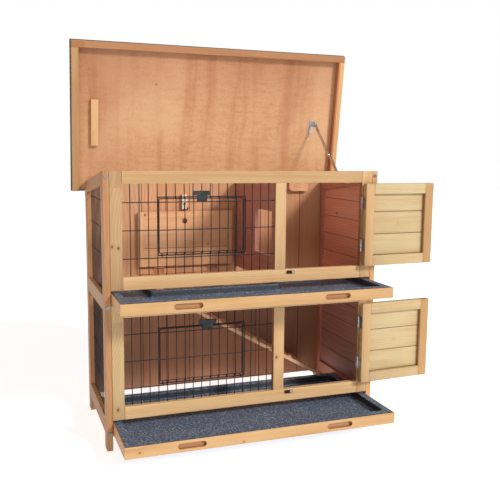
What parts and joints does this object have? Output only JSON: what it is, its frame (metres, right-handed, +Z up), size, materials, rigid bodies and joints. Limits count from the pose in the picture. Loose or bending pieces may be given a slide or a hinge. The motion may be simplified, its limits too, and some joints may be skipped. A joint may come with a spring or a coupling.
{
  "type": "rabbit hutch",
  "caption": "Timber rabbit hutch on two floors with wire-fronted runs, a lift-up roof on a folding stay, plank doors, pull-out trays, a ramp and a hatch over it.",
  "frame": {"origin": "on the floor, under the middle of the model's bounding box with the roof and doors open and the trays out", "axes": "+Z up, +Y from the open front to the back wall, +X to the right as seen from the front"},
  "size_m": [1.0772, 0.5848, 1.1799],
  "materials": {
    "pine": "oiled, satin",
    "plywood": "stained plywood, matte",
    "roofing_felt": "mineral felt, matte",
    "black_wire": "powder coat, satin",
    "black_plastic": "moulded, matte",
    "grey_liner": "hammered slate grey, satin",
    "zinc": "zinc plated"
  },
  "bodies": {
    "cabinet": {"front_left_post": "pine", "front_right_post": "pine", "back_left_post": "pine", "back_right_post": "pine", "left_side_rails": "pine", "right_side_rails": "pine", "left_side_mesh": "black_wire", "right_side_boards": "pine", "back_boards": "pine", "back_rails": "pine", "upper_front_stiles": "pine", "upper_front_rails": "pine", "lower_front_stiles": "pine", "lower_front_rails": "pine", "upper_run_mesh": "black_wire", "lower_run_mesh": "black_wire", "wire_door_clips": "black_wire", "tray_runners": "pine", "partition_boards": "pine", "back_wall_blocks": "pine", "ramp_board": "pine", "ramp_cleats": "pine", "ramp_supports": "pine", "hatch_hinge_rail": "pine", "hatch_hinge_fixed": "zinc", "door_hinge_fixed": "zinc", "frame_fasteners": "zinc", "roof_hinge_fixed": "zinc", "stay_side_bracket": "zinc"},
    "roof": {"roof_panel": "plywood", "roof_front_border": "pine", "roof_side_borders": "pine", "roof_felt": "roofing_felt", "roof_batten": "pine", "roof_hinge_leaves": "zinc", "stay_roof_bracket": "zinc"},
    "stay_upper": {"stay_upper_arm": "zinc"},
    "stay_lower": {"stay_lower_arm": "zinc"},
    "upper_door": {"upper_door_frame": "pine", "upper_door_boards": "pine", "upper_door_hinge_leaves": "zinc"},
    "lower_door": {"lower_door_frame": "pine", "lower_door_boards": "pine", "lower_door_hinge_leaves": "zinc"},
    "upper_tray": {"upper_tray_front": "pine", "upper_tray_boards": "pine", "upper_tray_liner": "grey_liner"},
    "lower_tray": {"lower_tray_front": "pine", "lower_tray_boards": "pine", "lower_tray_liner": "grey_liner"},
    "upper_wire_gate": {"upper_wire_door": "black_wire"},
    "lower_wire_gate": {"lower_wire_door": "black_wire"},
    "upper_gate_latch": {"upper_wire_latch": "black_plastic"},
    "lower_gate_latch": {"lower_wire_latch": "black_plastic"},
    "hatch": {"hatch_boards": "pine", "hatch_end_battens": "pine", "hatch_hinge_leaves": "zinc"},
    "hook": {"hatch_hook": "black_wire"},
    "upper_button": {"upper_door_button": "zinc"},
    "lower_button": {"lower_door_button": "zinc"}
  },
  "joints": [
    {"name": "roof_hinge", "type": "hinge", "parent": "cabinet", "child": "roof", "pos_m": [-0.07662, 0.27439, 0.7432], "axis": [1, 0, 0], "range_deg": [0, 75.5]},
    {"name": "stay_upper_pivot", "type": "hinge", "parent": "roof", "child": "stay_upper", "pos_m": [0.29238, 0.23456, 0.94189], "axis": [1, 0, 0], "range_deg": [-120.87, 0.5]},
    {"name": "stay_lower_pivot", "type": "hinge", "parent": "cabinet", "child": "stay_lower", "pos_m": [0.29638, 0.03959, 0.755], "axis": [1, 0, 0], "range_deg": [-0.5, 135.63]},
    {"name": "upper_door_hinge", "type": "hinge", "parent": "cabinet", "child": "upper_door", "pos_m": [0.28958, -0.11991, 0.626], "axis": [0, 0, 1], "range_deg": [-183, 4]},
    {"name": "lower_door_hinge", "type": "hinge", "parent": "cabinet", "child": "lower_door", "pos_m": [0.28958, -0.11991, 0.2544], "axis": [0, 0, 1], "range_deg": [-183, 4]},
    {"name": "upper_tray_slide", "type": "slide", "parent": "cabinet", "child": "upper_tray", "axis": [0, 1, 0], "range_m": [-0.15, 0.144]},
    {"name": "lower_tray_slide", "type": "slide", "parent": "cabinet", "child": "lower_tray", "axis": [0, 1, 0], "range_m": [-0.12, 0.132]},
    {"name": "upper_wire_door_hinge", "type": "hinge", "parent": "cabinet", "child": "upper_wire_gate", "pos_m": [-0.21662, -0.11101, 0.5542], "axis": [1, 0, 0], "range_deg": [0, 100]},
    {"name": "lower_wire_door_hinge", "type": "hinge", "parent": "cabinet", "child": "lower_wire_gate", "pos_m": [-0.21662, -0.11101, 0.1826], "axis": [1, 0, 0], "range_deg": [0, 100]},
    {"name": "upper_latch_slide", "type": "slide", "parent": "upper_wire_gate", "child": "upper_gate_latch", "axis": [0, 0, -1], "range_m": [0, 0.008]},
    {"name": "lower_latch_slide", "type": "slide", "parent": "lower_wire_gate", "child": "lower_gate_latch", "axis": [0, 0, -1], "range_m": [0, 0.008]},
    {"name": "hatch_hinge", "type": "hinge", "parent": "cabinet", "child": "hatch", "pos_m": [-0.17262, 0.24159, 0.461], "axis": [1, 0, 0], "range_deg": [0, 90]},
    {"name": "hatch_hook_swivel", "type": "hinge", "parent": "cabinet", "child": "hook", "pos_m": [-0.17762, 0.23459, 0.672], "axis": [0, 1, 0], "range_deg": [-90, 90]},
    {"name": "upper_button_turn", "type": "hinge", "parent": "cabinet", "child": "upper_button", "pos_m": [0.06238, -0.11771, 0.489], "axis": [0, 1, 0], "range_deg": [0, 90]},
    {"name": "lower_button_turn", "type": "hinge", "parent": "cabinet", "child": "lower_button", "pos_m": [0.06238, -0.11771, 0.1174], "axis": [0, 1, 0], "range_deg": [0, 90]}
  ],
  "couplings": [
    {"joint": "stay_upper_pivot", "follows": "roof_hinge", "ratio": -1.5943},
    {"joint": "stay_lower_pivot", "follows": "roof_hinge", "ratio": 1.7898}
  ]
}
